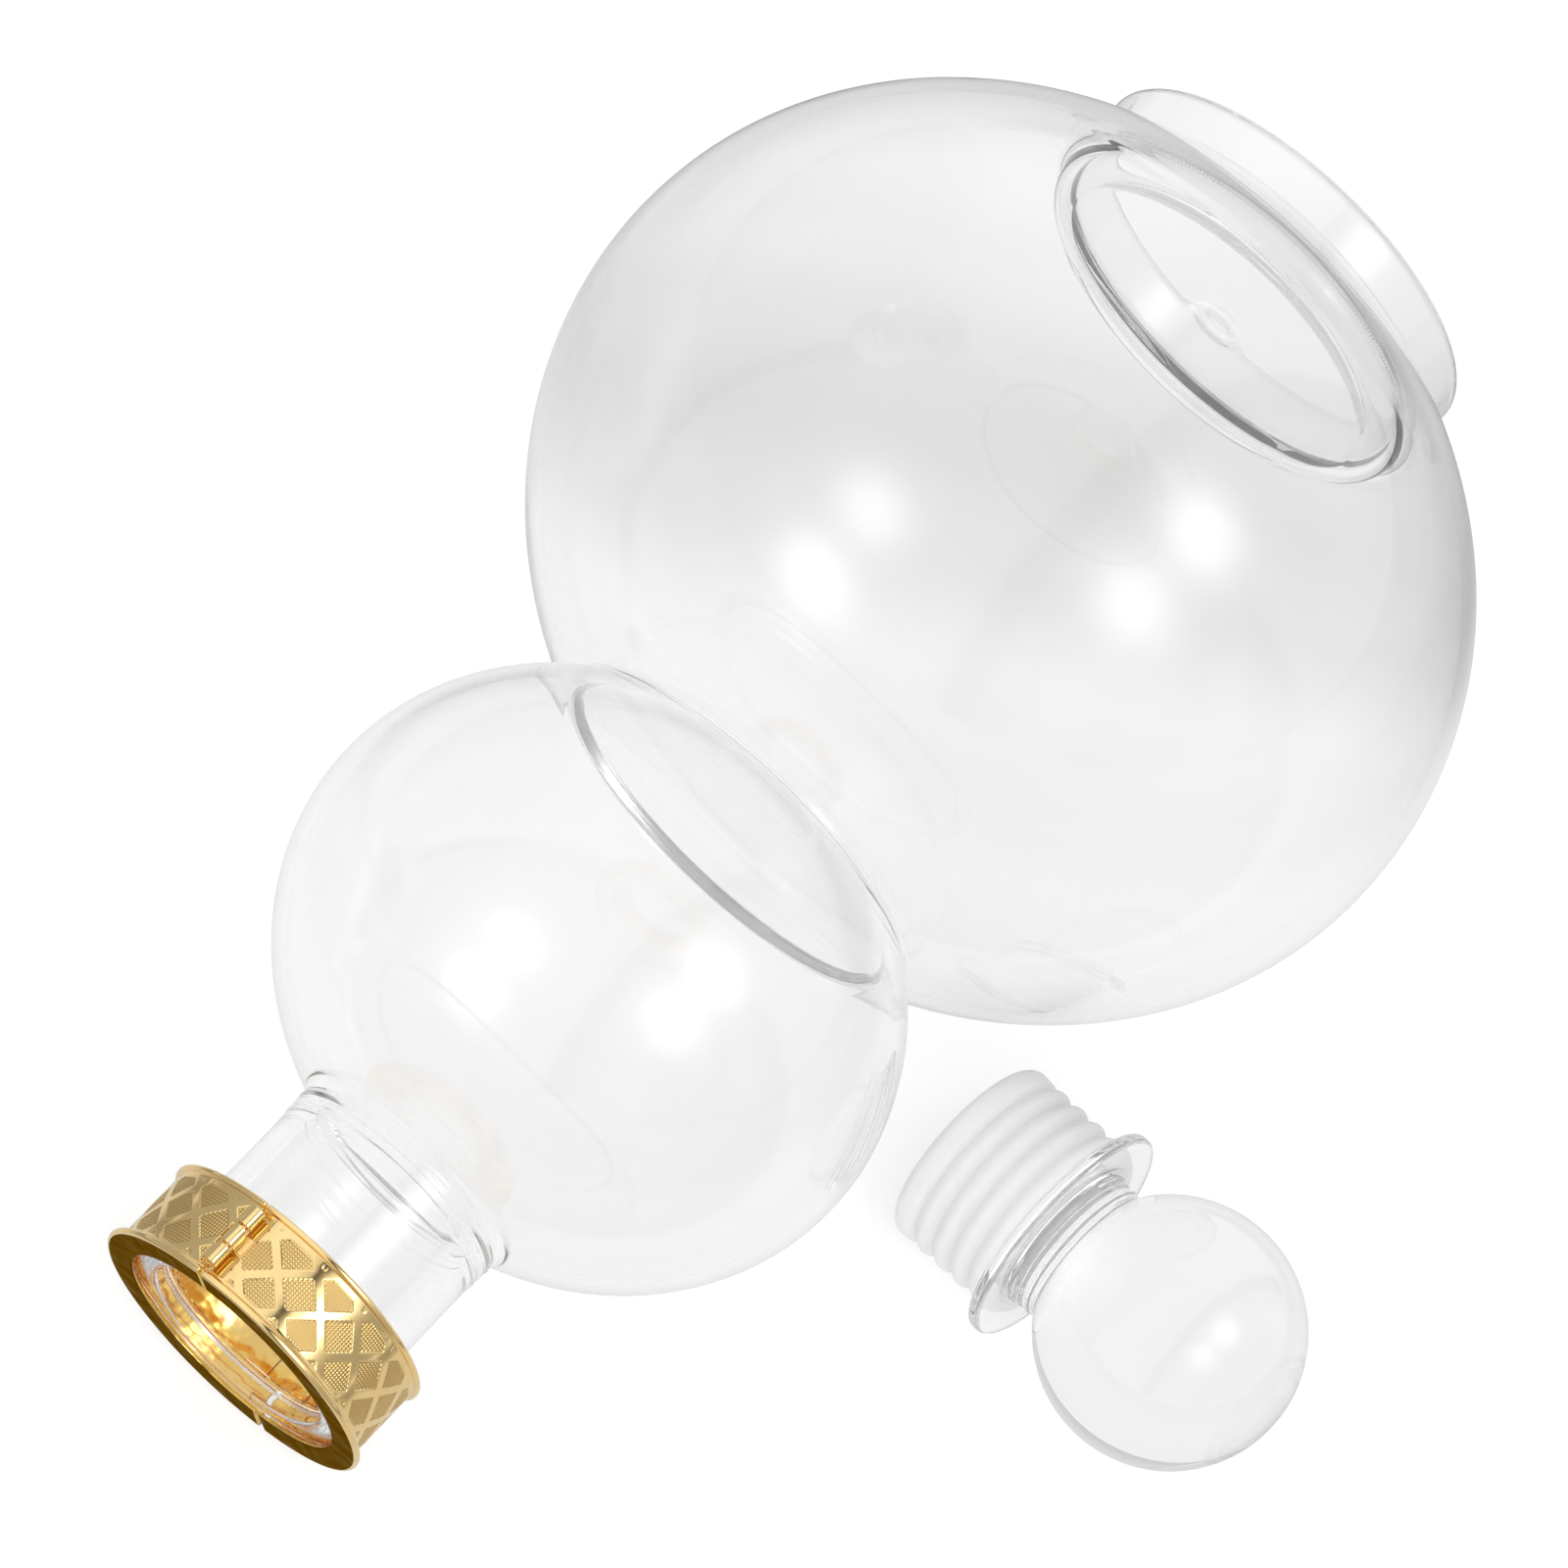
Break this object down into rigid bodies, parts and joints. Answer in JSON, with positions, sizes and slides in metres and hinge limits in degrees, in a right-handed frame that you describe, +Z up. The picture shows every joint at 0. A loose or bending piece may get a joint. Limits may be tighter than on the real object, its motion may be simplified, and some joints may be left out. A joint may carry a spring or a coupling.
{
  "type": "gourd water bottle",
  "caption": "Clear glass gourd-shaped bottle of two joined bulbs lying on its side, with a hinged metal collar round the mouth and a ball stopper with a ribbed seal beside it.",
  "frame": {"origin": "on the floor under the middle of the bounding box of the bottle lying on its side with the stopper beside it", "axes": "+Z up, +X level from the foot of the bottle towards its mouth, +Y towards the stopper"},
  "size_m": [0.1834, 0.1414, 0.1111],
  "materials": {
    "bottle_glass": "clear blown glass",
    "stopper_glass": "clear solid glass",
    "collar_metal": "polished gold-coloured sheet metal",
    "seal_rubber": "milky translucent silicone rubber"
  },
  "bodies": {
    "bottle": {"glass_body": "bottle_glass"},
    "collar": {"collar_fixed_half": "collar_metal", "hinge_pin": "collar_metal"},
    "collar_gate": {"collar_swing_half": "collar_metal", "clasp_tongue": "collar_metal"},
    "stopper": {"glass_stopper": "stopper_glass", "stopper_seal": "seal_rubber"}
  },
  "joints": [
    {"name": "collar_turn", "type": "hinge", "parent": "bottle", "child": "collar", "pos_m": [0.08155, -0.01466, 0.02201], "axis": [0.9614, 0, -0.2751], "continuous": true},
    {"name": "collar_hinge", "type": "hinge", "parent": "collar", "child": "collar_gate", "pos_m": [0.08641, -0.01906, 0.03898], "axis": [0.9614, 0, -0.2751], "range_deg": [0, 100]},
    {"name": "stopper_draw", "type": "slide", "parent": "bottle", "child": "stopper", "axis": [0.0872, 0.9962, 0], "range_m": [0, 0.08]}
  ]
}
